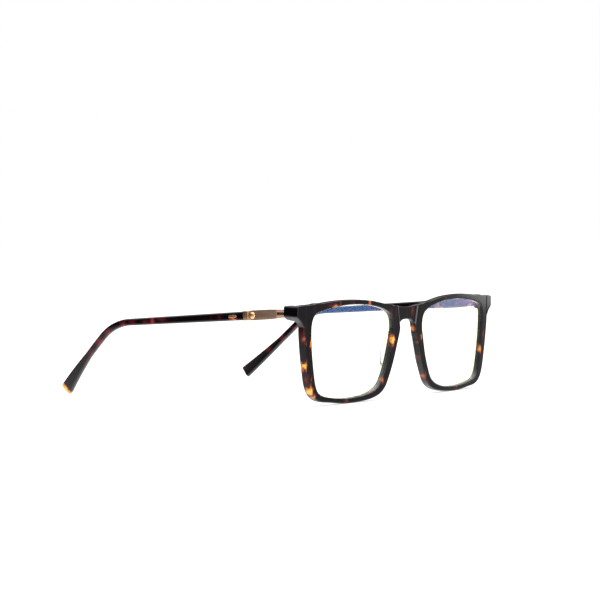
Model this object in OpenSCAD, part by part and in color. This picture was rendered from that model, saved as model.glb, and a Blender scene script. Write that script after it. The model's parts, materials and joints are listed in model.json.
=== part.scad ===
// Square full-rim eyeglasses, open, standing on the rims and the temple tips.
// +X is the wearer's left, the front faces -Y and +Z is up.

/* [Front] */
// Width of each lens opening
lens_w = 53.7; // [46:0.1:58]
// Height of each lens opening
lens_h = 39.4; // [32:0.1:44]
// Gap between the two openings where it is narrowest
bridge_w = 21.6; // [17:0.1:26]
// Thickness of the front
front_t = 3.7; // [3.2:0.1:5]
// Radius of the curve that wraps the front round the face
face_r = 600; // [300:1:900]
// Forward lean of the front's top edge, in degrees
lean = 2.4; // [0:0.1:5]
// Depth of the step that sets the bridge back from the rims
bridge_step = 1; // [0.4:0.1:1.6]
// Depth of the eased edge round the front face
front_ease = 0.5; // [0.2:0.1:0.8]
// Depth of the chamfer round the back of the rims
back_ease = 1.3; // [0.4:0.1:1.6]
// Greatest width of the rims, beside the end pieces and the nose
rim_w = 4.9; // [4:0.1:6]
// Height of the bridge at its middle
bridge_h = 5.4; // [4:0.1:8]

/* [Lens] */
// Distance of the lens behind the front face of the rim
lens_set = 1.5; // [0.8:0.1:1.8]
// Thickness of the lens
lens_t = 1.5; // [1.2:0.1:1.6]
// Depth of the groove that holds the lens
groove = 0.7; // [0.4:0.05:1]

/* [Nose pads] */
// Height of each nose pad
pad_h = 16.5; // [10:0.5:20]
// Reach of each nose pad behind the front
pad_reach = 2.8; // [1.5:0.1:4]
// Width of each nose pad where it meets the rim
pad_w = 3.5; // [2.4:0.1:3.8]

/* [End pieces] */
// Reach of each end piece past the lens opening
end_reach = 8.6; // [7:0.1:11]
// Height of the end piece at its rear face
end_h = 5; // [4.4:0.1:7]
// Thickness of the end piece across the head
end_t = 4.8; // [3.6:0.1:6]
// Distance of the end piece's rear face behind the middle of the front
end_back = 10.3; // [9:0.1:14]

/* [Hinges] */
// Distance of the hinge pin inside the end piece's inner face
pin_in = 1.4; // [1.2:0.1:2]
// Distance of the hinge pin behind the end piece's rear face
pin_back = 1.1; // [0.8:0.1:1.6]
// Outer radius of the hinge knuckles
knuckle_r = 1.3; // [1.1:0.05:1.5]
// Height of the middle knuckle
tongue_h = 1.1; // [0.8:0.05:1.4]
// Height of each outer knuckle
prong_h = 1.05; // [0.8:0.05:1.2]
// Radius of the hinge screw's shank
screw_r = 0.6; // [0.4:0.05:0.8]
// Radius of the hinge screw's head
screw_head_r = 1; // [0.9:0.05:1.2]
// Thickness of the hinge leaf set on the end piece
leaf_t = 0.9; // [0.6:0.1:1.2]

/* [Temples] */
// Distance from the outer face of the end piece to the outer face of the temple
temple_in = 1.6; // [0.8:0.1:2.4]
// Gap between the end piece's rear face and the temple's front end
mitre_gap = 0.4; // [0.3:0.05:0.8]
// Length of the metal bar
bar_l = 19.5; // [15:0.1:24]
// Height of the metal bar at its front end
bar_h0 = 3.3; // [3.2:0.1:5]
// Greatest height of the metal bar
bar_h1 = 4.2; // [3.6:0.1:6]
// Thickness of the metal bar
bar_t = 1.2; // [1:0.1:1.5]
// Length of the slot in the bar's forked front end
fork_l = 4.4; // [3:0.1:6]
// Depth of that slot, from the bar's outer face
fork_deep = 0.8; // [0.4:0.1:0.9]
// Length of the ferrule between bar and sleeve
ferrule_l = 2.8; // [2:0.1:5]
// Radius of the rivet's domed head
rivet_r = 1.5; // [1:0.1:1.8]
// Length from the hinge pin to the start of the ear bend
temple_l = 87; // [75:0.5:100]
// Downward slope of the temple, in degrees
temple_slope = 3.3; // [1:0.05:5]
// Radius of the ear bend
bend_r = 27; // [20:0.5:40]
// Angle of the ear bend, in degrees
bend_angle = 37.5; // [30:0.5:42]
// Height of the sleeve at its front end
sleeve_h0 = 3.7; // [3.2:0.1:5]
// Height of the sleeve at the start of the ear bend
sleeve_h1 = 3; // [2.6:0.05:5]
// Height of the sleeve at its tip
sleeve_h2 = 6; // [4:0.1:8]
// Length over which the tip widens
flare_l = 25; // [16:1:34]
// Thickness of the sleeve
sleeve_t = 2.4; // [2.2:0.1:3.4]
// Inward turn of the tip towards the head, in degrees
tip_yaw = 20; // [0:0.5:25]
// Inward roll of the tip's lower edge, in degrees
tip_roll = 12; // [0:0.5:16]
// Length of the plain metal inlay on the sleeve
inlay_l = 4.4; // [3:0.1:8]

/* [Hidden] */
$fn = 48;
eps = 0.01;

// Colours of the finishes
tortoise = "#1c1210";
clear = "#dfeaf0";
bronze = "#8c7768";
gold = "#d6a56a";

// Clearances between pieces that fit each other
lens_fit = 0.05;
turn_fit = 0.04;
core_fit = 0.05;
seat_fit = 0.02;

// The lens opening, as shares of its box from the nose outwards and from the bottom up,
// with the width of the rim outside each point as a share of its greatest width
lens_knots = [
    [0.000, 0.735, 1.00], [0.020, 0.594, 0.91], [0.060, 0.392, 0.80], [0.108, 0.234, 0.75],
    [0.158, 0.124, 0.73], [0.240, 0.056, 0.61], [0.375, 0.013, 0.48], [0.580, 0.000, 0.45],
    [0.766, 0.022, 0.44], [0.890, 0.066, 0.61], [0.944, 0.165, 0.80], [0.978, 0.388, 0.85],
    [0.998, 0.604, 0.90], [1.000, 0.800, 0.98], [0.963, 0.908, 0.94], [0.877, 0.948, 0.67],
    [0.710, 0.985, 0.51], [0.524, 1.000, 0.42], [0.320, 0.985, 0.42], [0.143, 0.938, 0.50],
    [0.030, 0.865, 0.92]];
curve_steps = 4;
rim_low = 0.45 * rim_w;
lens_in = bridge_w / 2;
lens_top = rim_low + lens_h;

// Closed smooth curve through a list of points
function smooth(a, b, c, d, t) = 0.5 * (2 * b + (c - a) * t
    + (2 * a - 5 * b + 4 * c - d) * t * t + (3 * b - a - 3 * c + d) * t * t * t);
function loop_curve(p) = let (n = len(p)) [for (i = [0 : n - 1], k = [0 : curve_steps - 1])
    smooth(p[(i + n - 1) % n], p[i], p[(i + 1) % n], p[(i + 2) % n], k / curve_steps)];
function side_of(p, i) = let (n = len(p), q = p[(i + 1) % n] - p[(i + n - 1) % n])
    [q[1], -q[0]] / norm([q[0], q[1]]);
knot_points = [for (k = lens_knots) [lens_in + lens_w * k[0], rim_low + lens_h * k[1], rim_w * k[2]]];
lens_curve = loop_curve(knot_points);
function lens_outline(grow) = [for (i = [0 : len(lens_curve) - 1])
    [lens_curve[i][0], lens_curve[i][1]] + side_of(lens_curve, i) * grow];
function face_y(x) = face_r - sqrt(face_r * face_r - x * x);
function rim_ring(inset, depth, curved) = [for (i = [0 : len(lens_curve) - 1])
    let (p = [lens_curve[i][0], lens_curve[i][1]] + side_of(lens_curve, i) * (lens_curve[i][2] - inset))
    [p[0], curved ? face_y(p[0]) + depth : depth, p[1]]];
function arc(c, r, a0, a1, n = 8) = [for (i = [0 : n]) let (a = a0 + (a1 - a0) * i / n)
    [c[0] + r * cos(a), c[1] + r * sin(a)]];

// End pieces
end_x = lens_in + lens_w + end_reach;
end_in_x = end_x - end_t;
end_top = lens_top + 0.4;
end_corner = 1.2;

// Bridge
bridge_top = lens_top - 2.2;
nose_top = bridge_top - bridge_h;
step_x = lens_in - 3;
crest_rise = 0.95;

// Hinge
pin_x = end_in_x - pin_in;
pin_y = end_back + pin_back;
hinge_z = end_top - 3.1;
stack_gap = turn_fit;

// Temple: its outer face, its bar and its sleeve
temple_x = end_x - temple_in;
bar_y0 = end_back + mitre_gap;
bar_y1 = bar_y0 + bar_l;
ferrule_y0 = bar_y1 + 0.1;
sleeve_y0 = ferrule_y0 + ferrule_l;
sleeve_x = temple_x - sleeve_t / 2;
core_t = 0.8;
core_h = 1.6;
tang_h = 2.4;
core_in = sleeve_x - (temple_x - bar_t - core_t / 2);
rivet_y = bar_y1 - 2;
rivet_shank_r = 0.6;
rivet_rise = 0.7;
function temple_z(y) = hinge_z - (y - pin_y) * tan(temple_slope);

// Ear bend and tip: the tip's lower corner stands on the ground
bend_y = pin_y + temple_l * cos(temple_slope);
bend_z = temple_z(bend_y);
tip_slope = temple_slope + bend_angle;
bend_end_y = bend_y + bend_r * (sin(tip_slope) - sin(temple_slope));
bend_end_z = bend_z - bend_r * (cos(temple_slope) - cos(tip_slope));
sleeve_corner = 0.8;
tip_axes = section_axes(tip_slope, tan(tip_yaw), tip_roll);
tip_z = tip_extent(2);
tip_l = (bend_end_z - tip_z) / sin(tip_slope);
tip_y = bend_end_y + tip_l * cos(tip_slope);
sweep_lag = 10;
sweep_y = bend_y + sweep_lag;

// The whole part is set so that its box is centred on the origin
mid_y = (tip_y + tip_extent(1) - (bridge_top + crest_rise) * sin(lean)) / 2;

module placed() translate([0, -mid_y, 0]) children();
module mirrored(side) mirror([side < 0 ? 1 : 0, 0, 0]) children();

// Stations of the temple: [y, z, slope, x] at a distance s behind the sleeve's front end
bend_l = bend_r * bend_angle * PI / 180;
straight_l = (bend_y - sleeve_y0) / cos(temple_slope);
sleeve_l = straight_l + bend_l + tip_l;
function turn(y) = tan(tip_yaw) * max(0, y - sweep_y) / (tip_y - sweep_y);
function swept_x(y) = sleeve_x - turn(y) * max(0, y - sweep_y) / 2;
function roll_at(s) = tip_roll * min(1, max(0, s - straight_l) / bend_l);

// Outward and upward directions of a section, and how far the tip's section reaches
function section_axes(slope, turned, roll) = let (
    n = [1, turned * cos(slope) * cos(slope), -turned * cos(slope) * sin(slope)],
    h = [0, sin(slope), cos(slope)])
    [n / norm(n) * cos(roll) - h * sin(roll), h * cos(roll) + n / norm(n) * sin(roll)];
function tip_extent(i) = (sleeve_h2 / 2 - sleeve_corner) * abs(tip_axes[1][i])
    + (sleeve_t / 2 - sleeve_corner) * abs(tip_axes[0][i])
    + sleeve_corner * norm([tip_axes[0][i], tip_axes[1][i]]);
function station(s) =
    s <= straight_l ? let (y = sleeve_y0 + s * cos(temple_slope)) [y, temple_z(y), temple_slope]
    : s <= straight_l + bend_l
    ? let (a = temple_slope + (s - straight_l) / bend_r * 180 / PI)
        [bend_y + bend_r * (sin(a) - sin(temple_slope)),
         bend_z - bend_r * (cos(temple_slope) - cos(a)), a]
    : let (r = s - straight_l - bend_l)
        [bend_end_y + r * cos(tip_slope), bend_end_z - r * sin(tip_slope), tip_slope];
function sleeve_height(s) = s < straight_l
    ? sleeve_h0 + (sleeve_h1 - sleeve_h0) * s / straight_l
    : sleeve_h1 + (sleeve_h2 - sleeve_h1) * max(0, s - sleeve_l + flare_l) / flare_l;

// Rounded rectangle, thickness across X and height along the section
function section(t, h, r) = concat(
    arc([t / 2 - r, h / 2 - r], r, 0, 90, 3), arc([r - t / 2, h / 2 - r], r, 90, 180, 3),
    arc([r - t / 2, r - h / 2], r, 180, 270, 3), arc([t / 2 - r, r - h / 2], r, 270, 360, 3));
function ring(p, s) = let (st = station(s), axes = section_axes(st[2], turn(st[0]), roll_at(s)))
    [for (q = p) [swept_x(st[0]), st[0], st[1]] + q[0] * axes[0] + q[1] * axes[1]];

// Solid swept through closed rings of equally many points
module loft(rings) {
    n = len(rings);
    m = len(rings[0]);
    polyhedron(points = [for (r = rings, p = r) p], convexity = 6, faces = concat(
        [[for (j = [0 : m - 1]) m - 1 - j]],
        [[for (j = [0 : m - 1]) (n - 1) * m + j]],
        [for (i = [0 : n - 2], j = [0 : m - 1]) let (a = i * m + j, b = i * m + (j + 1) % m)
            each [[a, b, a + m], [b, b + m, a + m]]]));
}

// Curved plate between two depths behind the front face
module face_shell(d0, d1) translate([0, face_r, -lens_h / 4]) difference() {
    cylinder(r = face_r - d0, h = 2 * lens_h, $fn = 720);
    translate([0, 0, -1]) cylinder(r = face_r - d1, h = 2 * lens_h + 2, $fn = 720);
}
cut_front = -front_t;
cut_back = end_back + end_h;
module through(y0 = cut_front) translate([0, cut_back, 0]) rotate([90, 0, 0])
    linear_extrude(cut_back - y0) children();
module leant() rotate([lean, 0, 0]) children();

// Rim with its front edge eased and its back edge chamfered, longer than the front is thick
past = 0.3;
ease_slope = 0.8;
module rim_blank() loft([
    rim_ring(front_ease + past, cut_front, false), rim_ring(front_ease + past, -past, true),
    rim_ring(0, front_ease, true), rim_ring(0, front_t - back_ease, true),
    rim_ring(ease_slope * (back_ease + past), front_t + past, true),
    rim_ring(ease_slope * (back_ease + past), cut_back, false)]);

// End piece seen from the front, with its slanted lower corner: shares of its reach inwards
// and of its height downwards
end_crown = [[1.4, 1.2], [1.4, -0.1], [1.05, -0.08]];
end_chin = [[-0.012, 0.92], [0.3, 1.4], [0.43, 1.76], [0.81, 2.4]];
function end_points(p) = [for (q = p) [end_x - end_reach * q[0], end_top - end_h * q[1]]];
module end_outline() polygon(concat(end_points(end_crown),
    arc([end_x - end_corner, end_top - end_corner], end_corner, 90, 0, 4), end_points(end_chin)));

// Bridge seen from the front, dipped at the top and arched over the nose: shares of the
// distance to the lens opening, with heights above the bridge's top and the arch's top
bridge_crest = [[1.2, -0.6], [1.02, crest_rise], [0.69, 0.7], [0.37, 0.2]];
nose_arch = [[0.24, -0.15], [0.4, -0.85], [0.49, -2.1], [0.56, -4.4], [0.83, -7]];
module bridge_outline() polygon(loop_curve(concat(
    [for (k = bridge_crest) [lens_in * k[0], bridge_top + k[1]]], [[0, bridge_top]],
    [for (i = [3 : -1 : 0]) [-lens_in * bridge_crest[i][0], bridge_top + bridge_crest[i][1]]],
    [for (i = [4 : -1 : 0]) [-lens_in * nose_arch[i][0], nose_top + nose_arch[i][1]]],
    [[0, nose_top]], [for (k = nose_arch) [lens_in * k[0], nose_top + k[1]]])));

// The end piece behind the front, cut off square for the temple: its outline from the side,
// as depths and as shares of its height downwards
block_side = [[front_t, 1.8], [front_t + 0.6 * end_h, 1.38], [cut_back, 1.08], [cut_back, 0.08],
    [front_t, 0], [0.55 * front_t, 0.2], [0.55 * front_t, 1.6]];
module end_block() intersection() {
    translate([end_in_x, 0, 0]) rotate([90, 0, 90]) linear_extrude(end_t)
        polygon([for (q = block_side) [q[0], end_top - end_h * q[1]]]);
    through(0) end_outline();
    face_shell(0, cut_back);
}

module front_frame() color(tortoise) placed() difference() {
    intersection() {
        leant() {
            intersection() {
                union() {
                    for (side = [1, -1]) mirrored(side) {
                        rim_blank();
                        through() end_outline();
                    }
                    through() bridge_outline();
                }
                face_shell(0, front_t);
            }
            for (side = [1, -1]) mirrored(side) end_block();
        }
        translate([-2 * end_x, -end_back, -lens_h / 4]) cube([4 * end_x, 2 * end_back, 2 * lens_h]);
    }
    leant() {
        for (side = [1, -1]) mirrored(side) {
            through() polygon(lens_outline(0));
            intersection() {
                through() polygon(lens_outline(groove));
                face_shell(lens_set - lens_fit, lens_set + lens_t + lens_fit);
            }
        }
        bridge_recess();
    }
    for (side = [1, -1]) mirrored(side) leaf_anchor(seat_fit);
}

// Slanted walls that set the bridge back between the rims, closer together lower down
recess_top = [step_x + 1.2, bridge_top + bridge_h];
recess_low = [step_x - 2.6, nose_top - 1.5 * bridge_h];
module bridge_recess() loft([for (d = [-1, bridge_step])
    let (a = recess_top - [d, 0], b = recess_low - [d, 0])
    [[a[0], d, a[1]], [-a[0], d, a[1]], [-b[0], d, b[1]], [b[0], d, b[1]]]]);

module lens(side) color(clear) placed() mirrored(side) leant() intersection() {
    through() polygon(lens_outline(groove - lens_fit));
    face_shell(lens_set, lens_set + lens_t);
}

// Crescent pad on the back of the rim beside the nose, its flat base along the curved back
pad_z = rim_low + lens_h * 0.48;
pad_x = lens_in - 1.3;
pad_splay = 0.75;
pad_taper = 0.17;
pad_lean = 0.3;
pad_mid = pad_x + pad_w / 2;
pad_span = (pad_w + pad_lean * pad_h) / 2;
function pad_base(x) = front_t + ((pad_mid * pad_mid + pad_span * pad_span) / 2
    + pad_mid * (x - pad_mid)) / (face_r - front_t);
module nose_pad(side) color(clear) placed() mirrored(side) leant() {
    hump_r = (pow(pad_h / 2, 2) + pow(pad_reach, 2)) / (2 * pad_reach);
    intersection() {
        loft([for (d = [0, pad_reach + 1]) let (a = pad_x + pad_splay * d, b = pad_x + pad_w - pad_taper * d)
            [for (q = [[b, 1], [a, 1], [a, -1], [b, -1]]) let (x = q[0] - q[1] * pad_lean * pad_h)
                [x, pad_base(x) + d, pad_z + q[1] * pad_h]]]);
        translate([0, pad_base(pad_mid) + pad_reach - hump_r, pad_z]) rotate([0, 90, 0])
            cylinder(r = hump_r, h = lens_in + lens_w, $fn = 180);
    }
}

// The leaf lies behind the front's back; its studs hold it in the end piece
leaf_gap = 0.15;
leaf_back = end_back - 0.4;
leaf_l = leaf_back - face_y(end_in_x) - front_t + hinge_z * sin(lean) - leaf_gap;
stud_r = 0.6;
stud_l = 2.2;
leaf_h = bar_h0 + 0.4;
module leaf_anchor(fit) for (share = [0.25, 0.75])
    translate([end_in_x - eps, leaf_back - leaf_l * share, hinge_z]) rotate([0, 90, 0])
        cylinder(r = stud_r + fit, h = stud_l + eps + fit);

module hinge_leaf(side) color(gold) placed() mirrored(side) difference() {
    union() {
        translate([end_in_x - leaf_t, leaf_back - leaf_l, hinge_z - leaf_h / 2])
            cube([leaf_t, leaf_l, leaf_h]);
        leaf_anchor(0);
        translate([0, 0, hinge_z - tongue_h / 2]) linear_extrude(tongue_h) union() {
            translate([pin_x, pin_y]) circle(r = knuckle_r);
            polygon([[pin_x - knuckle_r, pin_y], [end_in_x - leaf_t, leaf_back - leaf_l * 0.6],
                [end_in_x, leaf_back - leaf_l * 0.6], [end_in_x, leaf_back], [pin_x + knuckle_r, pin_y]]);
        }
    }
    translate([pin_x, pin_y, hinge_z - 5]) cylinder(r = screw_r + turn_fit, h = 10);
}

// Screw: slotted head on the upper prong, shank through all three knuckles
head_h = 0.5;
slot_w = 0.24;
module hinge_screw(side) color(gold) placed() mirrored(side) translate([pin_x, pin_y, hinge_z]) {
    stack = tongue_h / 2 + stack_gap + prong_h;
    difference() {
        translate([0, 0, stack]) cylinder(r = screw_head_r, h = head_h);
        translate([-screw_head_r - 1, -slot_w / 2, stack + head_h / 2])
            cube([2 * screw_head_r + 2, slot_w, head_h]);
    }
    translate([0, 0, -stack]) cylinder(r = screw_r, h = 2 * stack + eps);
}

// Outline of the bar seen from the side, before it is sloped
module bar_profile() polygon(concat(
    [[0, -bar_h0 / 2], [0, bar_h0 / 2], [bar_l * 0.45, bar_h1 / 2 - 0.05], [bar_l * 0.6, bar_h1 / 2]],
    arc([bar_l - bar_h1 / 2, 0], bar_h1 / 2, 90, -90, 12),
    [[bar_l * 0.6, -bar_h1 / 2], [bar_l * 0.45, 0.05 - bar_h1 / 2]]));
module sloped() translate([0, bar_y0, temple_z(bar_y0)]) rotate([-temple_slope, 0, 0]) children();
module side_plate(x0, t) translate([x0, 0, 0]) rotate([90, 0, 90]) linear_extrude(t) children();

module temple_bar(side) color(bronze) placed() mirrored(side) difference() {
    union() {
        sloped() side_plate(temple_x - bar_t, bar_t) bar_profile();
        for (up = [1, -1]) translate([0, 0, hinge_z + up * (tongue_h / 2 + stack_gap + prong_h / 2)
            - prong_h / 2]) linear_extrude(prong_h) prong_outline();
    }
    translate([temple_x - fork_deep, bar_y0 - 1, hinge_z - tongue_h / 2 - stack_gap])
        cube([fork_deep + 1, fork_l + 1, tongue_h + 2 * stack_gap]);
    translate([pin_x, pin_y, hinge_z - 5]) cylinder(r = screw_r + turn_fit, h = 10);
    rivet_shank(seat_fit);
}
prong_root = 2.6;
module prong_outline() union() {
    translate([pin_x, pin_y]) circle(r = knuckle_r);
    polygon([[pin_x, pin_y - knuckle_r / 2], [temple_x - bar_t + eps, bar_y0 + 0.2],
        [temple_x - bar_t + eps, bar_y0 + 0.2 + prong_root], [pin_x, pin_y + knuckle_r]]);
}

module rivet_shank(fit) translate([temple_x - bar_t - core_t - 1, rivet_y, temple_z(rivet_y)])
    rotate([0, 90, 0]) cylinder(r = rivet_shank_r + fit, h = bar_t + core_t + 1.2);

// Domed head on the bar, shank through bar and tang
module bar_rivet(side) color(gold) placed() mirrored(side) {
    dome_r = (rivet_r * rivet_r + rivet_rise * rivet_rise) / (2 * rivet_rise);
    translate([temple_x, rivet_y, temple_z(rivet_y)]) rotate([0, 90, 0]) intersection() {
        translate([0, 0, rivet_rise - dome_r]) sphere(r = dome_r);
        cylinder(r = rivet_r, h = 2);
    }
    translate([temple_x - bar_t - core_t, rivet_y, temple_z(rivet_y)]) rotate([0, 90, 0])
        cylinder(r = rivet_shank_r, h = bar_t + core_t + eps);
}

// Metal core: a tang behind the bar and a wire through ferrule and sleeve
module temple_core(side) color(bronze) placed() mirrored(side) difference() {
    union() {
        sloped() side_plate(temple_x - bar_t - core_t, core_t)
            polygon([[bar_l * 0.55, -tang_h / 2], [bar_l * 0.55, tang_h / 2], [bar_l, tang_h / 2],
                [bar_l, core_h / 2], [bar_l + 2, core_h / 2],
                [bar_l + 2, -core_h / 2], [bar_l, -core_h / 2], [bar_l, -tang_h / 2]]);
        core_wire(0, 1.8);
    }
    rivet_shank(seat_fit);
}
core_end = 24;
module core_wire(fit, lead) {
    last = sleeve_l - core_end;
    stops = [-lead, straight_l, straight_l + bend_l / 3, straight_l + bend_l * 2 / 3,
        straight_l + bend_l, last];
    loft([for (s = stops) ring([for (q = [[1, 1], [-1, 1], [-1, -1], [1, -1]])
        [q[0] * (core_t / 2 + fit) - core_in, q[1] * (core_h / 2 + fit)]], s)]);
}

// Square ring between bar and sleeve, with the core through it
ferrule_proud = 0.2;
module ferrule(side) color(gold) placed() mirrored(side)
    translate([0, ferrule_y0, temple_z(ferrule_y0)]) rotate([-temple_slope, 0, 0]) difference() {
        side_block(sleeve_x, sleeve_t + 2 * ferrule_proud, 0, ferrule_l, sleeve_h0 + 2 * ferrule_proud);
        side_block(sleeve_x - core_in, core_t + 2 * core_fit, -1, ferrule_l + 2, core_h + 2 * core_fit);
    }
module side_block(x, t, y, l, h) translate([x - t / 2, y, -h / 2]) cube([t, l, h]);

module temple_sleeve(side) color(tortoise) placed() mirrored(side) difference() {
    loft([for (s = sleeve_stops) ring(section(sleeve_t, sleeve_height(s), sleeve_corner), s)]);
    core_wire(core_fit, 1);
    inlay(0.05);
}
sleeve_stops = concat([for (i = [0 : 8]) straight_l * i / 8],
    [for (i = [1 : 10]) straight_l + bend_l * i / 10],
    [for (i = [1 : 8]) straight_l + bend_l + tip_l * i / 8]);

inlay_y = sleeve_y0 + 3.6;
inlay_h = 1.2;
inlay_deep = 0.4;
module inlay(fit) translate([temple_x - inlay_deep - fit, inlay_y, temple_z(inlay_y)])
    rotate([-temple_slope, 0, 0]) rotate([90, 0, 90]) linear_extrude(inlay_deep + 0.15 + fit)
    polygon(concat(arc([inlay_h / 2, 0], inlay_h / 2 + fit, 90, 270, 6),
        arc([inlay_l - inlay_h / 2, 0], inlay_h / 2 + fit, -90, 90, 6)));
module temple_inlay(side) color(gold) placed() mirrored(side) inlay(0);

front_frame();
lens(1);  // lens_left
lens(-1);  // lens_right
nose_pad(1);  // nose_pad_left
nose_pad(-1);  // nose_pad_right
hinge_leaf(1);  // hinge_leaf_left
hinge_leaf(-1);  // hinge_leaf_right
hinge_screw(1);  // hinge_screw_left
hinge_screw(-1);  // hinge_screw_right
temple_bar(1);  // temple_bar_left
temple_bar(-1);  // temple_bar_right
bar_rivet(1);  // bar_rivet_left
bar_rivet(-1);  // bar_rivet_right
ferrule(1);  // ferrule_left
ferrule(-1);  // ferrule_right
temple_core(1);  // temple_core_left
temple_core(-1);  // temple_core_right
temple_sleeve(1);  // temple_sleeve_left
temple_sleeve(-1);  // temple_sleeve_right
temple_inlay(1);  // temple_inlay_left
temple_inlay(-1);  // temple_inlay_right
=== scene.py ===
import json
import math

import bmesh
import bpy
import numpy as np
from mathutils import Euler, Matrix, Vector


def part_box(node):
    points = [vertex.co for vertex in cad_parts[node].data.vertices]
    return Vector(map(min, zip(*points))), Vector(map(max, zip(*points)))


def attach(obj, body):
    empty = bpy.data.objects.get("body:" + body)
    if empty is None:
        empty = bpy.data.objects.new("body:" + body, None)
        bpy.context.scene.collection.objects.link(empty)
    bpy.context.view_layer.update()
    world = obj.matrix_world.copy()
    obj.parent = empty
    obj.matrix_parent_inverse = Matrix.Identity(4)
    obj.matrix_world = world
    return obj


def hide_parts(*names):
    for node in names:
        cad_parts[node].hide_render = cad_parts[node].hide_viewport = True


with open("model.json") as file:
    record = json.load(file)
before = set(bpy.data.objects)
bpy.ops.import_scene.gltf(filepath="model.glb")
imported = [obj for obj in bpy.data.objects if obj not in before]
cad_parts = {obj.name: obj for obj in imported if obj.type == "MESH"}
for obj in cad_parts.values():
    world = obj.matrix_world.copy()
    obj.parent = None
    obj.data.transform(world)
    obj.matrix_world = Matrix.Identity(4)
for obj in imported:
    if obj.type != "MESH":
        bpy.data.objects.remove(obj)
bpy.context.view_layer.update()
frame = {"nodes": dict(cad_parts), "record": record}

# One millimetre in metres
MM = 0.001

# Driving sizes of the front, in millimetres as in the part's source
LENS_W = 53.7
LENS_H = 39.4
BRIDGE_W = 21.6
BRIDGE_H = 5.4
BRIDGE_STEP = 1.0
FRONT_T = 3.7
RIM_W = 4.9
FACE_R = 600.0
LEAN = math.radians(2.4)
END_REACH = 8.6
END_H = 5.0
END_T = 4.8
END_BACK = 10.3
END_CORNER = 1.2

# Driving sizes of the hinge and the bar
PIN_BACK = 1.1
TONGUE_H = 1.1
TEMPLE_IN = 1.6
MITRE_GAP = 0.4
BAR_L = 19.5
FORK_L = 4.4
FORK_DEEP = 0.8

# Driving sizes of the ferrule and the sleeve
FERRULE_GAP = 0.1
FERRULE_L = 2.8
TEMPLE_L = 87.0
TEMPLE_SLOPE = math.radians(3.3)
BEND_R = 27.0
BEND_ANGLE = math.radians(37.5)
SLEEVE_T = 2.4
SLEEVE_H0 = 3.7
SLEEVE_H1 = 3.0
SLEEVE_H2 = 6.0
SLEEVE_CORNER = 0.8
FLARE_L = 25.0
TIP_YAW = math.radians(20)
TIP_ROLL = math.radians(12)
SWEEP_LAG = 10.0

# Roundings of the front: its outer edge, the openings, the bridge's step and the end pieces
FACE_EDGE = 0.45
BACK_EDGE = 1.2
OPENING_FACE_EDGE = 0.3
OPENING_BACK_EDGE = 0.35
STEP_EDGE = 0.12
BLOCK_EDGE = 0.3
BLOCK_FILLET = 0.25
REAR_EDGE = 0.25

# Places worked out from the sizes
RIM_LOW = 0.45 * RIM_W
LENS_IN = BRIDGE_W / 2
LENS_TOP = RIM_LOW + LENS_H
END_X = LENS_IN + LENS_W + END_REACH
END_IN_X = END_X - END_T
END_TOP = LENS_TOP + 0.4
BRIDGE_TOP = LENS_TOP - 2.2
NOSE_TOP = BRIDGE_TOP - BRIDGE_H
STEP_X = LENS_IN - 3.0
PIN_Y = END_BACK + PIN_BACK
HINGE_Z = END_TOP - 3.1
BAR_Y0 = END_BACK + MITRE_GAP
TEMPLE_X = END_X - TEMPLE_IN
SLEEVE_X = TEMPLE_X - SLEEVE_T / 2
SLEEVE_Y0 = BAR_Y0 + BAR_L + FERRULE_GAP + FERRULE_L
BEND_Y = PIN_Y + TEMPLE_L * math.cos(TEMPLE_SLOPE)
STRAIGHT_L = (BEND_Y - SLEEVE_Y0) / math.cos(TEMPLE_SLOPE)
BEND_L = BEND_R * BEND_ANGLE
SWEEP_Y = BEND_Y + SWEEP_LAG

# The frame is centred on the origin, so the hinge pin tells how far the part was moved
screw_low, screw_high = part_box("hinge_screw_left")
MID_Y = PIN_Y - (screw_low.y + screw_high.y) / 2 / MM

# Outline of a lens opening as shares of its box, with the rim's width there as a share of RIM_W
LENS_KNOTS = [
    (0.000, 0.735, 1.00), (0.020, 0.594, 0.91), (0.060, 0.392, 0.80), (0.108, 0.234, 0.75),
    (0.158, 0.124, 0.73), (0.240, 0.056, 0.61), (0.375, 0.013, 0.48), (0.580, 0.000, 0.45),
    (0.766, 0.022, 0.44), (0.890, 0.066, 0.61), (0.944, 0.165, 0.80), (0.978, 0.388, 0.85),
    (0.998, 0.604, 0.90), (1.000, 0.800, 0.98), (0.963, 0.908, 0.94), (0.877, 0.948, 0.67),
    (0.710, 0.985, 0.51), (0.524, 1.000, 0.42), (0.320, 0.985, 0.42), (0.143, 0.938, 0.50),
    (0.030, 0.865, 0.92)]
# Outline of an end piece from its outer top corner, as shares of its reach and its height
END_CROWN = [(1.4, 1.2), (1.4, -0.1), (1.05, -0.08)]
END_CHIN = [(-0.012, 0.92), (0.3, 1.4), (0.43, 1.76), (0.81, 2.4)]
# Half the bridge's top and the arch under it: shares of LENS_IN, and millimetres upwards
BRIDGE_CREST = [(1.2, -0.6), (1.02, 0.95), (0.69, 0.7), (0.37, 0.2)]
NOSE_ARCH = [(0.24, -0.15), (0.4, -0.85), (0.49, -2.1), (0.56, -4.4), (0.83, -7.0)]


def smooth_loop(points, steps):
    """Smooth closed curve through a list of points."""
    here = np.array(points, float)[:, None, :]
    before = np.roll(here, 1, 0)
    after = np.roll(here, -1, 0)
    beyond = np.roll(here, -2, 0)
    t = (np.arange(steps) / steps)[None, :, None]
    curve = 0.5 * (
        2 * here
        + (after - before) * t
        + (2 * before - 5 * here + 4 * after - beyond) * t**2
        + (3 * here - before - 3 * after + beyond) * t**3
    )
    return curve.reshape(-1, here.shape[2])


def arc(cx, cz, radius, start, end, count=8):
    """Points of an arc, angles in degrees."""
    turns = np.radians(np.linspace(start, end, count + 1))
    return [(cx + radius * math.cos(a), cz + radius * math.sin(a)) for a in turns]


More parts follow.
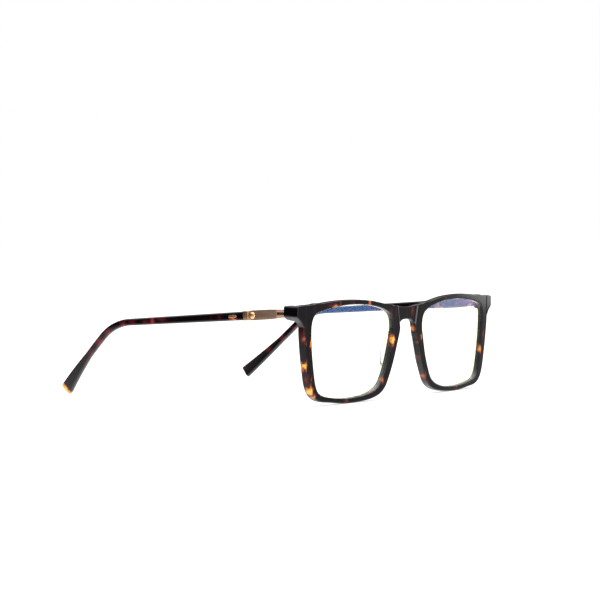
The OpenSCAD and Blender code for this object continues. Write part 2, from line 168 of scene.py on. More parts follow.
def lens_opening():
    """The opening's outline and, on the same normals, the rim's outer outline."""
    knots = [(LENS_IN + LENS_W * x, RIM_LOW + LENS_H * z, RIM_W * w) for x, z, w in LENS_KNOTS]
    curve = smooth_loop(knots, 8)
    along = np.roll(curve[:, :2], -1, 0) - np.roll(curve[:, :2], 1, 0)
    out = np.stack([along[:, 1], -along[:, 0]], 1)
    out /= np.linalg.norm(out, axis=1)[:, None]
    return curve[:, :2], curve[:, :2] + out * curve[:, 2:]


def bridge_outline():
    """The bridge seen from the front, dipped at the top and arched over the nose."""
    crest = [(LENS_IN * x, BRIDGE_TOP + z) for x, z in BRIDGE_CREST]
    arch = [(LENS_IN * x, NOSE_TOP + z) for x, z in NOSE_ARCH]
    far_crest = [(-x, z) for x, z in reversed(crest)]
    far_arch = [(-x, z) for x, z in reversed(arch)]
    points = crest + [(0, BRIDGE_TOP)] + far_crest + far_arch + [(0, NOSE_TOP)] + arch
    return smooth_loop(points, 6)


def end_outline():
    """The end piece seen from the front, with its slanted lower corner."""
    crown = [(END_X - END_REACH * x, END_TOP - END_H * z) for x, z in END_CROWN]
    chin = [(END_X - END_REACH * x, END_TOP - END_H * z) for x, z in END_CHIN]
    corner = arc(END_X - END_CORNER, END_TOP - END_CORNER, END_CORNER, 90, 0)
    return np.array(crown + corner + chin)


def lies_inside(x, z, outline):
    """True where a point lies inside a closed outline."""
    inside = np.zeros(np.shape(x), bool)
    for (x0, z0), (x1, z1) in zip(outline, np.roll(outline, -1, 0)):
        if z0 != z1:
            inside ^= ((z0 > z) != (z1 > z)) & (x < x0 + (z - z0) * (x1 - x0) / (z1 - z0))
    return inside


def edge_distance(x, z, outlines):
    """Field of outlines laid over each other: distance to their edge, negative inside them."""
    inside = np.zeros(x.shape, bool)
    nearest = np.full(x.shape, 1e3)
    for outline in outlines:
        inside |= lies_inside(x, z, outline)
        others = [o for o in outlines if o is not outline]
        for (x0, z0), (x1, z1) in zip(outline, np.roll(outline, -1, 0)):
            # A stretch inside another outline isn't on the joint edge
            if any(lies_inside((x0 + x1) / 2, (z0 + z1) / 2, other) for other in others):
                continue
            dx = x1 - x0
            dz = z1 - z0
            share = np.clip(((x - x0) * dx + (z - z0) * dz) / (dx * dx + dz * dz), 0, 1)
            nearest = np.minimum(nearest, np.hypot(x - x0 - share * dx, z - z0 - share * dz))
    return np.where(inside, -nearest, nearest)


def softened(field, passes):
    """A sampled field blurred a little, which rounds its corners."""
    for _ in range(passes):
        wide = np.pad(field, 1, mode="reflect")
        wide = (wide[:-2] + 2 * wide[1:-1] + wide[2:]) / 4
        field = (wide[:, :-2] + 2 * wide[:, 1:-1] + wide[:, 2:]) / 4
    return field


def rounded(a, b, radius):
    """Overlap of two fields with an edge of that radius."""
    past = np.hypot(np.maximum(a + radius, 0), np.maximum(b + radius, 0))
    return np.minimum(np.maximum(a, b), -radius) + past


def filleted(a, b, radius):
    """Union of two fields with a fillet of that radius."""
    return -rounded(-a, -b, radius)


def skin(field, axes):
    """Points and quads of the surface where a sampled field is zero."""
    shape = np.array(field.shape) - 1
    corners = [(i, j, k) for i in (0, 1) for j in (0, 1) for k in (0, 1)]

    def at(array, corner):
        return array[tuple(slice(c, n + c) for c, n in zip(corner, shape))]

    # Cells that the surface passes through are numbered, and each gets one point
    inside = field < 0
    count = sum(at(inside, corner).astype(np.int8) for corner in corners)
    mixed = (count > 0) & (count < 8)
    number = np.full(shape, -1)
    number[mixed] = np.arange(mixed.sum())

    # The point is the mean of the places where the surface cuts the cell's edges
    place = np.zeros((mixed.sum(), 3))
    hits = np.zeros(mixed.sum())
    for corner in corners:
        for axis in range(3):
            if corner[axis]:
                continue
            step = np.eye(3, dtype=int)[axis]
            near = at(field, corner)[mixed]
            far = at(field, tuple(np.array(corner) + step))[mixed]
            cut = (near < 0) != (far < 0)
            share = np.where(cut, near / np.where(cut, near - far, 1), 0)
            place += np.where(cut[:, None], np.array(corner) + share[:, None] * step, 0)
            hits += cut
    place = place / hits[:, None] + np.argwhere(mixed)

    # The four cells round each sample edge that is cut share a quad
    quads = []
    for axis in range(3):
        u = np.eye(3, dtype=int)[(axis + 1) % 3]
        v = np.eye(3, dtype=int)[(axis + 2) % 3]
        low = np.take(inside, range(field.shape[axis] - 1), axis)
        high = np.take(inside, range(1, field.shape[axis]), axis)
        for outward, crossing in ((True, low & ~high), (False, high & ~low)):
            spot = np.argwhere(crossing)
            ring = [number[tuple((spot - d).T)] for d in (u + v, v, 0 * u, u)]
            quads.append(np.stack(ring if outward else ring[::-1], 1))
    points = [np.interp(place[:, i], np.arange(len(axes[i])), axes[i]) for i in range(3)]
    return np.stack(points, 1), np.concatenate(quads)


def line(place, start, end):
    """Value at a place on the straight line through two points (place, value)."""
    return start[1] + (place - start[0]) * (end[1] - start[1]) / (end[0] - start[0])


def face_y(x):
    """Depth of the curved face at a distance from the middle."""
    return FACE_R - np.sqrt(FACE_R**2 - x**2)


def recess_field(x, y, z):
    """Field of the space ahead of the bridge, between slanted walls that close downwards."""
    low = (NOSE_TOP - 1.5 * BRIDGE_H, STEP_X - 2.6)
    high = (BRIDGE_TOP + BRIDGE_H, STEP_X + 1.2)
    return np.maximum(y - BRIDGE_STEP, (x - line(z, low, high) + y) / math.sqrt(2))


def block_field(x, y, z, end):
    """Field of an end piece behind the face, within its outlines from the side and front."""
    # Places seen from the side, their heights as shares of END_H below the top
    cut_back = END_BACK + END_H
    knee = (FRONT_T + 0.6 * END_H, END_TOP - 1.38 * END_H)
    top = line(y, (FRONT_T, END_TOP), (cut_back, END_TOP - 0.08 * END_H))
    steep = line(y, (FRONT_T, END_TOP - 1.8 * END_H), knee)
    flat = line(y, knee, (cut_back, END_TOP - 1.08 * END_H))
    side_on = np.maximum(z - top, np.minimum(steep, flat) - z)
    return rounded(side_on, np.maximum(END_IN_X - x, end), BLOCK_EDGE)


def front_shape():
    """Points and quads of the front: rims, bridge and end pieces as one smooth piece."""
    # Sample lines over half the front, with some room around it
    fine = 0.3
    layer = 0.2
    room_out = 1.2
    room_ahead = 0.6
    room_below = 0.9
    room_above_lens = 3.2
    deepest = 9.3
    half_x = np.arange(0, END_X + room_out, fine)
    depths = np.arange(-room_ahead, deepest, layer)
    z_line = np.arange(-room_below, LENS_TOP + room_above_lens, fine)

    # Distances to the outlines seen from the front, then carried through the thickness
    x2, z2 = np.meshgrid(half_x, z_line, indexing="ij")
    opening, rim = lens_opening()
    outer = softened(edge_distance(x2, z2, [rim, bridge_outline(), end_outline()]), 2)
    inner = softened(edge_distance(x2, z2, [opening]), 1)
    end = softened(edge_distance(x2, z2, [end_outline()]), 1)
    x, depth, z = np.meshgrid(half_x, depths, z_line, indexing="ij")
    outer, inner, end = [np.broadcast_to(f[:, None, :], x.shape) for f in (outer, inner, end)]
    y = depth + face_y(x)

    # The plate with its openings and the bridge's step, and the end piece behind it
    ahead = rounded(-depth, -recess_field(x, y, z), STEP_EDGE)
    behind = depth - FRONT_T
    plate = np.maximum(rounded(outer, ahead, FACE_EDGE), rounded(outer, behind, BACK_EDGE))
    plate = np.maximum(plate, rounded(-inner, ahead, OPENING_FACE_EDGE))
    plate = np.maximum(plate, rounded(-inner, behind, OPENING_BACK_EDGE))
    block = np.maximum(block_field(x, y, z, end), -depth)
    rear = y * math.cos(LEAN) - z * math.sin(LEAN) - END_BACK
    solid = rounded(filleted(plate, block, BLOCK_FILLET), rear, REAR_EDGE)

    # Both halves, bent to the face's curve and leant back
    solid = np.concatenate([solid[:0:-1], solid])
    full_x = np.concatenate([-half_x[:0:-1], half_x])
    points, quads = skin(solid, (full_x, depths, z_line))
    y = points[:, 1] + face_y(points[:, 0])
    z = points[:, 2].copy()
    points[:, 1] = y * math.cos(LEAN) - z * math.sin(LEAN)
    points[:, 2] = y * math.sin(LEAN) + z * math.cos(LEAN)
    return points, quads


def make_piece(name, points, faces, material, body, nodes):
    """Adds a smooth-shaded piece from points in millimetres, which stands for CAD nodes."""
    mesh = bpy.data.meshes.new(name)
    placed = (np.array(points, float) - (0, MID_Y, 0)) * MM
    mesh.from_pydata(placed.tolist(), [], [list(map(int, f)) for f in faces])
    mesh.shade_smooth()
    piece = bpy.data.objects.new(name, mesh)
    bpy.context.scene.collection.objects.link(piece)
    mesh.materials.append(material)
    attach(piece, body)
    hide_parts(*nodes)


def line_z(y):
    """Height of the temple's straight stretch at a depth."""
    return HINGE_Z - (y - PIN_Y) * math.tan(TEMPLE_SLOPE)


def station(s):
    """Depth, height and slope of the temple's centre line at a distance behind the ferrule."""
    if s <= STRAIGHT_L:
        y = SLEEVE_Y0 + s * math.cos(TEMPLE_SLOPE)
        return y, line_z(y), TEMPLE_SLOPE
    slope = min(TEMPLE_SLOPE + (s - STRAIGHT_L) / BEND_R, TEMPLE_SLOPE + BEND_ANGLE)
    rest = max(0, s - STRAIGHT_L - BEND_L)
    y = BEND_Y + BEND_R * (math.sin(slope) - math.sin(TEMPLE_SLOPE)) + rest * math.cos(slope)
    z = line_z(BEND_Y) - BEND_R * (math.cos(TEMPLE_SLOPE) - math.cos(slope))
    return y, z - rest * math.sin(slope), slope


def section_axes(slope, turn, roll):
    """Outward and upward directions of a temple's section."""
    flat = math.cos(slope)
    drop = math.sin(slope)
    across = Vector((1, turn * flat * flat, -turn * flat * drop)).normalized()
    upward = Vector((0, drop, flat))
    return (across * math.cos(roll) - upward * math.sin(roll),
            upward * math.cos(roll) + across * math.sin(roll))


def sleeve_length():
    """Length of the sleeve, whose tip's lower corner stands on the ground."""
    bent = STRAIGHT_L + BEND_L
    z, slope = station(bent)[1:]
    across, upward = section_axes(slope, math.tan(TIP_YAW), TIP_ROLL)
    foot = (SLEEVE_H2 / 2 - SLEEVE_CORNER) * abs(upward.z)
    foot += (SLEEVE_T / 2 - SLEEVE_CORNER) * abs(across.z)
    foot += SLEEVE_CORNER * math.hypot(across.z, upward.z)
    return bent + (z - foot) / math.sin(slope)


def sleeve_stops(length):
    """Distances along the sleeve, and how far the section is drawn in to round both ends."""
    tip_ease = 0.7
    front_l = 0.15 * tip_ease
    front_ease = 0.2 * tip_ease
    first = 1.2
    last = length - tip_ease - 0.2
    pitch = 1.0
    front_turns = np.radians(np.linspace(0, 90, 4))
    tip_turns = np.radians(np.linspace(0, 78, 7))
    stops = [(front_l * (1 - math.cos(a)), front_ease * (1 - math.sin(a))) for a in front_turns]
    stops += [(s, 0) for s in np.arange(first, last, pitch)]
    stops += [(length - tip_ease * (1 - math.sin(a)), tip_ease * (1 - math.cos(a)))
              for a in tip_turns]
    return stops


def sleeve_height(s, length):
    """Height of the sleeve's section, which tapers to the bend and flares to the tip."""
    if s < STRAIGHT_L:
        return SLEEVE_H0 + (SLEEVE_H1 - SLEEVE_H0) * s / STRAIGHT_L
    flare = max(0, s - length + FLARE_L) / FLARE_L
    return SLEEVE_H1 + (SLEEVE_H2 - SLEEVE_H1) * flare


def sleeve_section(half_w, half_h):
    """A rounded rectangle, as distances outward and upward from the centre line."""
    r = min(SLEEVE_CORNER, half_w * 0.9)
    out = half_w - r
    up = half_h - r
    return (arc(out, up, r, 0, 90, 6) + arc(-out, up, r, 90, 180, 6)
            + arc(-out, -up, r, 180, 270, 6) + arc(out, -up, r, 270, 360, 6))


def sleeve_shape(side):
    """Points and faces of a temple sleeve, lofted through rounded sections."""
    length = sleeve_length()
    span = station(length)[0] - SWEEP_Y
    rings = []
    for s, inset in sleeve_stops(length):
        y, z, slope = station(s)
        swept = max(0, y - SWEEP_Y)
        turn = math.tan(TIP_YAW) * swept / span
        x = SLEEVE_X - turn * swept / 2
        roll = TIP_ROLL * min(1, max(0, s - STRAIGHT_L) / BEND_L)
        across, upward = section_axes(slope, turn, roll)
        section = sleeve_section(SLEEVE_T / 2 - inset, sleeve_height(s, length) / 2 - inset)
        ring = [Vector((x, y, z)) + across * float(a) + upward * float(b) for a, b in section]
        rings.append([(side * p.x, p.y, p.z) for p in ring])
    around = len(rings[0])
    points = [p for ring in rings for p in ring]
    faces = [(i * around + j, i * around + (j + 1) % around,
              (i + 1) * around + (j + 1) % around, (i + 1) * around + j)
             for i in range(len(rings) - 1) for j in range(around)]
    faces.append(list(range(around))[::-1])
    faces.append(list(range(len(points) - around, len(points))))
    if side > 0:
        faces = [face[::-1] for face in faces]
    return points, faces


def eased_copy(node, material, width, segments=2):
    """Adds a copy of a CAD node with its edges eased, which stands for that node."""
    same_place = 2e-6
    flat = math.radians(1.5)
    sharp = math.radians(32)
    shaded_sharp = math.radians(38)
    work = bmesh.new()
    work.from_mesh(frame["nodes"][node].data)
    bmesh.ops.remove_doubles(work, verts=work.verts, dist=same_place)
    bmesh.ops.dissolve_limit(work, angle_limit=flat, verts=work.verts, edges=work.edges)
    edges = [e for e in work.edges if len(e.link_faces) == 2 and e.calc_face_angle(0) > sharp]
    bmesh.ops.bevel(work, geom=edges, offset=width * MM, segments=segments, profile=0.5,
                    affect="EDGES", clamp_overlap=True)
    mesh = bpy.data.meshes.new(node + "_look")
    work.to_mesh(mesh)
    work.free()
    mesh.shade_smooth()
    mesh.set_sharp_from_angle(angle=shaded_sharp)
    piece = bpy.data.objects.new(node + "_look", mesh)
    bpy.context.scene.collection.objects.link(piece)
    mesh.materials.append(material)
    body = next(b for b, names in frame["record"]["behaviour"]["bodies"].items() if node in names)
    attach(piece, body)
    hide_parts(node)


def paint(node, material):
    """Gives its material to a CAD node that is shown as it is."""
    cad = frame["nodes"][node]
    cad.data.materials.clear()
    cad.data.materials.append(material)


# Materials
def new_material(name):
    """A material with its Principled shader ready."""
    material = bpy.data.materials.new(name)
    material.use_nodes = True
    return material, material.node_tree.nodes, material.node_tree.links


def ramp(nodes, stops):
    """A colour ramp with the given stops."""
    made = nodes.new("ShaderNodeValToRGB")
    elements = made.color_ramp.elements
    while len(elements) < len(stops):
        elements.new(0.5)
    for element, (place, colour) in zip(elements, stops):
        element.position = place
        element.color = (*colour, 1)
    return made


def maths(nodes, links, operation, a, b):
    """A maths node fed by sockets or plain numbers."""
    made = nodes.new("ShaderNodeMath")
    made.operation = operation
    for socket, value in zip(made.inputs, (a, b)):
        if isinstance(value, (int, float)):
            socket.default_value = value
        else:
            links.new(value, socket)
    return made.outputs[0]


def product(nodes, links, first, *others):
    """Product of sockets or plain numbers."""
    for other in others:
        first = maths(nodes, links, "MULTIPLY", first, other)
    return first


def within(nodes, links, value, low, high):
    """One where a value lies between two limits, else nothing."""
    above = maths(nodes, links, "GREATER_THAN", value, low)
    return product(nodes, links, above, maths(nodes, links, "LESS_THAN", value, high))


def map_range(nodes, links, value, source, target=(0.0, 1.0), smooth=False):
    """A value carried from one range to another, in a straight line or a smooth step."""
    made = nodes.new("ShaderNodeMapRange")
    if smooth:
        made.interpolation_type = "SMOOTHSTEP"
    names = ("From Min", "From Max", "To Min", "To Max")
    for name, limit in zip(names, (*source, *target)):
        made.inputs[name].default_value = limit
    links.new(value, made.inputs["Value"])
    return made.outputs[0]


def scale_shift(nodes, links, vector, scale, shift):
    """A vector times one constant vector plus another."""
    made = nodes.new("ShaderNodeVectorMath")
    made.operation = "MULTIPLY_ADD"
    links.new(vector, made.inputs[0])
    made.inputs[1].default_value = scale
    made.inputs[2].default_value = shift
    return made.outputs[0]


def noise(nodes, links, vector, scale, detail, roughness=0.5):
    """A noise texture over a vector."""
    made = nodes.new("ShaderNodeTexNoise")
    made.inputs["Scale"].default_value = scale
    made.inputs["Detail"].default_value = detail
    made.inputs["Roughness"].default_value = roughness
    links.new(vector, made.inputs["Vector"])
    return made


# Patches of the tortoiseshell, placed where the photograph shows them, in the source's
# millimetres: centre, reach to each side, and warmth, which widens the amber core above 1
FRONT_PATCHES = [
    ((-28.3, 0.0, 42.2), (3.2, 5.0, 3.6), 0.88),
    ((-47.4, 0.1, 42.4), (2.4, 4.0, 2.8), 0.55),
    ((-50.6, 0.4, 41.0), (7.0, 4.0, 1.3), 0.84),
    ((-53.0, 0.6, 41.8), (9.5, 4.0, 1.8), 0.44),
    ((-63.1, 1.6, 40.4), (3.0, 4.0, 2.4), 0.32),
    ((-9.6, -1.0, 37.0), (2.6, 4.0, 5.5), 0.38),
    ((-11.2, -0.8, 25.4), (3.4, 4.0, 2.8), 1.15),
    ((-12.3, 0.6, 22.7), (1.8, 4.0, 2.2), 0.58),
    ((-18.0, 0.3, 8.5), (2.2, 4.0, 2.4), 0.74),
    ((-16.0, 0.0, 7.2), (3.0, 4.0, 2.4), 0.44),
    ((-42.4, 1.5, 1.2), (4.6, 4.0, 1.9), 0.54),
    ((-64.4, 3.8, 6.0), (3.8, 4.0, 4.0), 1.15),
    ((-62.6, 3.5, 4.1), (2.8, 4.0, 2.0), 0.86),
    ((-64.4, 3.8, 8.0), (4.5, 5.0, 6.5), 0.46),
    ((-66.2, 4.3, 11.4), (2.8, 4.0, 3.4), 0.52),
    ((-67.4, 4.0, 16.8), (1.5, 4.0, 3.2), 1.05),
    ((-64.0, 2.9, 11.6), (1.3, 3.0, 1.7), 0.62),
    ((-65.2, 2.5, 26.5), (1.3, 3.0, 2.6), 0.97),
    ((-68.8, 2.9, 28.4), (1.7, 3.0, 1.7), 0.72),
    ((-67.7, 2.7, 26.3), (1.3, 3.0, 1.3), 0.68),
    ((-69.4, 3.9, 29.8), (5.0, 5.0, 4.6), 0.44),
    ((29.9, -1.0, 41.4), (5.0, 4.0, 2.8), 0.52),
    ((4.3, -0.6, 37.4), (4.4, 4.0, 2.9), 0.54),
    ((5.7, 1.0, 29.5), (1.8, 3.0, 2.2), 0.88),
    ((9.0, -0.5, 25.3), (2.8, 4.0, 2.4), 0.42),
    ((7.9, -0.2, 23.5), (1.3, 2.5, 1.3), 0.62),
    ((10.4, -0.8, 25.9), (1.4, 2.5, 2.2), 0.88),
    ((14.1, 1.5, 8.2), (2.7, 4.0, 3.6), 0.76),
    ((10.6, 2.4, 17.6), (3.0, 4.0, 2.6), 0.66),
    ((63.4, 3.0, 17.5), (2.0, 3.0, 2.4), 0.92),
    ((65.8, 2.4, 24.4), (2.6, 4.0, 3.0), 0.56),
    ((41.0, 1.0, 1.5), (6.0, 4.0, 2.4), 0.50)]
TEMPLE_PATCHES = [
    ((-71.2, 38.5, 36.1), (1.6, 3.2, 1.1), 0.84),
    ((-71.5, 46.1, 36.8), (2.5, 2.4, 2.4), 0.38),
    ((-71.5, 78.6, 35.5), (2.5, 5.0, 1.6), 0.46),
    ((-71.5, 84.0, 34.6), (2.5, 2.6, 3.0), 0.63),
    ((-71.5, 88.0, 34.0), (2.5, 3.4, 2.0), 0.45),
    ((-71.5, 101.2, 32.6), (2.5, 3.0, 2.6), 0.54),
    ((-71.4, 110.2, 29.0), (2.5, 4.2, 4.0), 0.52),
    ((-71.0, 115.8, 24.6), (2.6, 4.6, 4.4), 0.54),
    ((-70.3, 121.6, 19.4), (2.6, 4.4, 4.2), 0.46),
    ((-64.3, 145.0, 3.8), (4.0, 3.0, 3.0), 1.60),
    ((-63.9, 143.7, 2.1), (4.0, 3.2, 3.2), 1.90),
    ((-63.4, 142.3, 0.5), (4.0, 3.2, 3.2), 1.80),
    ((66.6, 130.4, 14.0), (2.6, 3.4, 2.4), 0.44),
    ((67.9, 122.4, 19.9), (2.6, 3.4, 2.8), 0.48),
    ((69.4, 115.3, 24.7), (2.6, 3.4, 2.4), 0.48),
    ((71.5, 55.0, 36.3), (2.5, 4.0, 2.2), 0.50),
    ((71.5, 92.0, 34.0), (2.5, 4.0, 2.4), 0.60)]


def frayed(nodes, links, place):
    """Positions pushed about by noise, so that the edges of patches run unevenly."""
    spread = 2.4
    drift = noise(nodes, links, place, 0.5, 3.0, 0.6)
    push = scale_shift(nodes, links, drift.outputs["Color"], (spread,) * 3, (-spread / 2,) * 3)
    moved = nodes.new("ShaderNodeVectorMath")
    moved.operation = "ADD"
    links.new(place, moved.inputs[0])
    links.new(push, moved.inputs[1])
    return moved.outputs[0]


def patch(nodes, links, place, centre, size, warmth):
    """Warmth of one patch, which fades out at one and a half times its size."""
    shrink = tuple(1 / r for r in size)
    shift = tuple(-c / r for c, r in zip(centre, size))
    gap = nodes.new("ShaderNodeVectorMath")
    gap.operation = "LENGTH"
    links.new(scale_shift(nodes, links, place, shrink, shift), gap.inputs[0])
    return map_range(nodes, links, gap.outputs["Value"], (1.5, 0.0), (0.0, warmth), smooth=True)


def tortoise(name, patches, grain, dark_red, red):
    """Near-black polished acetate with dark red clouds and amber patches drawn out by the grain."""
    material, nodes, links = new_material(name)
    shader = nodes["Principled BSDF"]
    where = nodes.new("ShaderNodeTexCoord").outputs["Object"]
    place = scale_shift(nodes, links, where, (1 / MM,) * 3, (0, MID_Y, 0))
    moved = frayed(nodes, links, place)
    cloud = noise(nodes, links, moved, 0.11, 2.0)
    warmth = map_range(nodes, links, cloud.outputs["Fac"], (0.55, 0.72), (0.0, 0.42))
    for centre, reach, strength in patches:
        size = [r * g for r, g in zip(reach, grain)]
        near = patch(nodes, links, moved, centre, size, strength)
        warmth = maths(nodes, links, "MAXIMUM", warmth, near)
    colours = ramp(nodes, [
        (0.00, (0.0022, 0.0013, 0.0026)), (0.25, (0.011, 0.002, 0.003)), (0.45, dark_red),
        (0.62, red), (0.78, (0.60, 0.17, 0.030)), (0.90, (0.88, 0.42, 0.055)),
        (1.00, (0.95, 0.64, 0.11))])
    links.new(warmth, colours.inputs["Fac"])
    links.new(colours.outputs["Color"], shader.inputs["Base Color"])
    polish_and_painted_highlight = noise(nodes, links, place, 0.8, 2.0)
    gloss = map_range(nodes, links, polish_and_painted_highlight.outputs["Fac"], (0.0, 1.0), (0.03, 0.08))
    links.new(gloss, shader.inputs["Roughness"])
    shader.inputs["IOR"].default_value = 1.4
    return material


def fork_shade(nodes, links, where, shade):
    """A bar's shade with a painted highlight on the prongs and painted shade in the slot between
    them.
    """
    # How much the painted highlight brightens the prongs, and how much the painted shade darkens
    # the slot
    polish_and_painted_highlight = 0.9
    painted_slot_shade = 0.85

    # Limits of the prongs and of the slot, with small margins
    fork_back = BAR_Y0 + FORK_L + 0.2 - MID_Y
    slot_reach = TONGUE_H / 2 + 0.07
    floor_x = TEMPLE_X - FORK_DEEP - 0.1
    face_x = TEMPLE_X - 0.2

    # Both masks are one on what they name: the prongs are brightened as a painted highlight, and
    # the slot is darkened as painted shade
    parts = nodes.new("ShaderNodeSeparateXYZ")
    links.new(where, parts.inputs[0])
    x, y, z = parts.outputs
    out = maths(nodes, links, "ABSOLUTE", x, 0)
    prongs = maths(nodes, links, "LESS_THAN", y, fork_back * MM)
    level = within(nodes, links, z, (HINGE_Z - slot_reach) * MM, (HINGE_Z + slot_reach) * MM)
    slot = product(nodes, links, prongs, level,
                   within(nodes, links, out, floor_x * MM, face_x * MM))
    lift = maths(nodes, links, "ADD", product(nodes, links, prongs, polish_and_painted_highlight), 1.0)
    dip = maths(nodes, links, "SUBTRACT", 1.0, product(nodes, links, slot, painted_slot_shade))
    return product(nodes, links, shade, lift, dip)


def metal(name, colour, roughness, grain, waves, forked=False):
    """Plated metal brushed along the temple: depth of the grain and its waves per millimetre."""
    material, nodes, links = new_material(name)
    shader = nodes["Principled BSDF"]
    shader.inputs["Metallic"].default_value = 1.0
    where = nodes.new("ShaderNodeTexCoord").outputs["Object"]
    mapping = nodes.new("ShaderNodeMapping")
    mapping.inputs["Rotation"].default_value = (TEMPLE_SLOPE, 0, 0)
    mapping.inputs["Scale"].default_value = tuple(v / MM for v in waves)
    links.new(where, mapping.inputs["Vector"])
    brush = noise(nodes, links, mapping.outputs[0], 1.0, 3.0, 0.6).outputs["Fac"]
    shade = map_range(nodes, links, brush, (0.0, 1.0), (1 - grain, 1 + grain))
    # A forked bar gets a painted highlight on its prongs and painted shade in its slot
    if forked:
        shade = fork_shade(nodes, links, where, shade)
    tint = nodes.new("ShaderNodeVectorMath")
    tint.operation = "SCALE"
    tint.inputs[0].default_value = colour
    links.new(shade, tint.inputs["Scale"])
    links.new(tint.outputs[0], shader.inputs["Base Color"])
    rough = map_range(nodes, links, brush, (0.0, 1.0), (roughness * 0.8, roughness * 1.2))
    links.new(rough, shader.inputs["Roughness"])
    bump = nodes.new("ShaderNodeBump")
    bump.inputs["Strength"].default_value = min(1, grain * 1.5)
    bump.inputs["Distance"].default_value = 0.03 * MM
    links.new(brush, bump.inputs["Height"])
    links.new(bump.outputs[0], shader.inputs["Normal"])
    return material


def see_through(material, nodes, links, shader):
    """Lets lamps through clear material, so that it casts no dark shadow."""
    path = nodes.new("ShaderNodeLightPath")
    clear = nodes.new("ShaderNodeBsdfTransparent")
    choose = nodes.new("ShaderNodeMixShader")
    links.new(path.outputs["Is Shadow Ray"], choose.inputs["Fac"])
    links.new(shader.outputs[0], choose.inputs[1])
    links.new(clear.outputs[0], choose.inputs[2])
    links.new(choose.outputs[0], nodes["Material Output"].inputs["Surface"])


def lens_glass():
    """Clear lens whose thin coating mirrors blue over dark things."""
    thickness_nm = (268, 302)
    material, nodes, links = new_material("lens_coated")
    shader = nodes["Principled BSDF"]
    shader.inputs["Base Color"].default_value = (1, 1, 1, 1)
    shader.inputs["Transmission Weight"].default_value = 1.0
    shader.inputs["IOR"].default_value = 1.5
    shader.inputs["Roughness"].default_value = 0.0
    shader.inputs["Specular Tint"].default_value = (0.34, 0.33, 1.0, 1)
    shader.inputs["Thin Film IOR"].default_value = 2.05
    where = nodes.new("ShaderNodeTexCoord").outputs["Object"]
    wave = noise(nodes, links, where, 18.0, 1.0)
    film = map_range(nodes, links, wave.outputs["Fac"], (0.0, 1.0), thickness_nm)
    links.new(film, shader.inputs["Thin Film Thickness"])
    see_through(material, nodes, links, shader)
    return material


def pad_plastic():
    """Clear acetate of the nose pads, slightly hazed by use."""
    material, nodes, links = new_material("pad_acetate")
    shader = nodes["Principled BSDF"]
    shader.inputs["Base Color"].default_value = (0.97, 0.98, 0.98, 1)
    shader.inputs["Transmission Weight"].default_value = 1.0
    shader.inputs["IOR"].default_value = 1.15
    where = nodes.new("ShaderNodeTexCoord").outputs["Object"]
    haze = noise(nodes, links, where, 900.0, 2.0)
    rough = map_range(nodes, links, haze.outputs["Fac"], (0.0, 1.0), (0.05, 0.14))
    links.new(rough, shader.inputs["Roughness"])
    see_through(material, nodes, links, shader)
    return material


acetate = tortoise("tortoise_front", FRONT_PATCHES, grain=(0.46, 1.0, 1.25),
                   dark_red=(0.055, 0.010, 0.009), red=(0.22, 0.040, 0.020))
sleeve_acetate = tortoise("tortoise_temple", TEMPLE_PATCHES, grain=(1.0, 1.0, 1.0),
                          dark_red=(0.075, 0.008, 0.012), red=(0.30, 0.030, 0.034))
bronze = metal("bar_bronze", (0.41, 0.27, 0.19), 0.5, 0.09, (4.0, 0.12, 14.0), forked=True)
gold = metal("hinge_gold", (0.72, 0.42, 0.23), 0.34, 0.05, (3.0, 1.0, 3.0))
# The hinge leaf's bronze is darkened as painted shade in the slot between the prongs
leaf_bronze_painted_shade = metal("leaf_bronze_painted_shade", (0.30, 0.19, 0.10), 0.45, 0.06, (3.0, 1.0, 3.0))
steel = metal("core_steel", (0.62, 0.58, 0.54), 0.3, 0.1, (4.0, 0.4, 4.0))
coated = lens_glass()
pad_clear = pad_plastic()

# Front
front_points, front_quads = front_shape()
make_piece("front_acetate", front_points, front_quads, acetate, "front", ["front_frame"])

# Temples, with each side's pad and lens
for name, side in (("left", 1), ("right", -1)):
    points, faces = sleeve_shape(side)
    make_piece("sleeve_" + name, points, faces, sleeve_acetate, "temple_" + name,
               ["temple_sleeve_" + name])
    eased_copy("temple_bar_" + name, bronze, 0.12)
    eased_copy("ferrule_" + name, gold, 0.3, 3)
    eased_copy("bar_rivet_" + name, gold, 0.04)
    eased_copy("hinge_leaf_" + name, leaf_bronze_painted_shade, 0.08)
    eased_copy("hinge_screw_" + name, gold, 0.05)
    eased_copy("temple_inlay_" + name, gold, 0.06)
    eased_copy("nose_pad_" + name, pad_clear, 0.9, 4)
    paint("lens_" + name, coated)
    paint("temple_core_" + name, steel)


# Stage
def make_floor():
    """A pale floor that stays white to the camera and keeps the object's shadow."""
    reach = 12.0
    grey = 0.8
    glow_level = 0.42
    mesh = bpy.data.meshes.new("floor")
    corners = [(-reach, -reach, 0), (reach, -reach, 0), (reach, reach, 0), (-reach, reach, 0)]
    mesh.from_pydata(corners, [], [(0, 1, 2, 3)])
    floor = bpy.data.objects.new("floor", mesh)
    bpy.context.scene.collection.objects.link(floor)
    material, nodes, links = new_material("floor_white")
    shader = nodes["Principled BSDF"]
    shader.inputs["Base Color"].default_value = (grey, grey, grey, 1)
    shader.inputs["Roughness"].default_value = 1.0
    shader.inputs["Specular IOR Level"].default_value = 0.0
    path = nodes.new("ShaderNodeLightPath")
    seen = maths(nodes, links, "MAXIMUM", path.outputs["Is Camera Ray"],
                 path.outputs["Is Transmission Ray"])
    glow = nodes.new("ShaderNodeEmission")
    glow.inputs["Color"].default_value = (1, 1, 1, 1)
    links.new(product(nodes, links, seen, glow_level), glow.inputs["Strength"])
    both = nodes.new("ShaderNodeAddShader")
    links.new(shader.outputs[0], both.inputs[0])
    links.new(glow.outputs[0], both.inputs[1])
    links.new(both.outputs[0], nodes["Material Output"].inputs["Surface"])
    mesh.materials.append(material)
    floor.visible_glossy = False


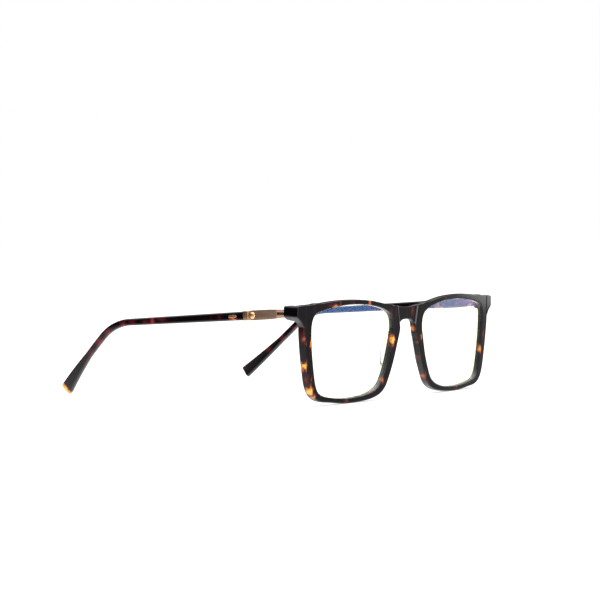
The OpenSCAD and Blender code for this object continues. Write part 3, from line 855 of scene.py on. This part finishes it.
def studio_gloss(nodes, links):
    """Brightness that the gloss sees in each direction: a dark card and bright panels."""
    direction = nodes.new("ShaderNodeTexCoord").outputs["Generated"]
    parts = nodes.new("ShaderNodeSeparateXYZ")
    links.new(direction, parts.inputs[0])

    # Parts of the direction: to the wearer's left, to the back and upwards
    left, back, height = parts.outputs

    def zone(component, start, end):
        return map_range(nodes, links, component, (start, end), smooth=True)

    around = 0.45
    below = zone(height, -0.14, -0.3)
    far_below = zone(height, -0.45, -0.7)
    overhead = zone(height, 0.45, 0.75)
    left_wall = product(nodes, links, zone(left, 0.86, 0.95), zone(height, -0.076, -0.069))
    dark_back = product(nodes, links, zone(back, 0.1, 0.45), zone(height, 0.5, 0.2),
                        zone(height, -0.25, -0.1))
    front_card = product(nodes, links, zone(left, -0.35, -0.5), zone(back, -0.68, -0.8),
                         zone(height, -0.35, -0.2))

    # Each panel takes over from what lies under it, by its share and with its brightness
    panels = [(below, 0.9), (far_below, 2.2), (overhead, 2.5), (left_wall, 2.2),
              (dark_back, 0.03), (front_card, 5.0)]
    level = around
    for share, brightness in panels:
        change = maths(nodes, links, "SUBTRACT", brightness, level)
        level = maths(nodes, links, "ADD", level, product(nodes, links, change, share))
    return level


def make_world():
    """A studio that is white to the camera, seen a little brighter through the lenses."""
    through_extra = 0.8
    world = bpy.data.worlds.new("studio")
    world.use_nodes = True
    bpy.context.scene.world = world
    nodes = world.node_tree.nodes
    links = world.node_tree.links
    path = nodes.new("ShaderNodeLightPath")
    glossy = path.outputs["Is Glossy Ray"]
    plain = maths(nodes, links, "SUBTRACT", 1.0, glossy)
    extra = product(nodes, links, path.outputs["Is Transmission Ray"], through_extra)
    plain = maths(nodes, links, "ADD", plain, extra)
    mirrored = product(nodes, links, glossy, studio_gloss(nodes, links))
    sky = nodes["Background"]
    sky.inputs["Color"].default_value = (1, 1, 1, 1)
    links.new(maths(nodes, links, "ADD", plain, mirrored), sky.inputs["Strength"])


def make_lamp(name, place, target, size, watts):
    """A soft square lamp aimed at a point."""
    data = bpy.data.lights.new(name, "AREA")
    data.size = size
    data.energy = watts
    lamp = bpy.data.objects.new(name, data)
    lamp.location = place
    lamp.rotation_euler = (Vector(target) - Vector(place)).to_track_quat("-Z", "Y").to_euler()
    bpy.context.scene.collection.objects.link(lamp)


def make_camera():
    """The camera found by fitting the photograph: place, turn, lens and shift."""
    place = Vector((-733.03, -510.50 - MID_Y, 71.56)) * MM
    pitch = math.radians(87.163)
    roll = math.radians(0.676)
    yaw = math.radians(-52.340)
    data = bpy.data.cameras.new("camera")
    data.lens = 123.05
    data.sensor_width = 36
    data.shift_x = -0.00792
    data.shift_y = 0.0592
    data.clip_start = 0.05
    data.clip_end = 50
    camera = bpy.data.objects.new("camera", data)
    camera.matrix_world = Matrix.LocRotScale(place, Euler((pitch, roll, yaw)), None)
    bpy.context.scene.collection.objects.link(camera)
    bpy.context.scene.camera = camera


make_floor()
make_world()
make_lamp("top_lamp", place=(0.3, -0.3, 1.6), target=(0, 0, 0), size=1.6, watts=12)
make_camera()
bpy.context.scene.view_settings.view_transform = "Standard"
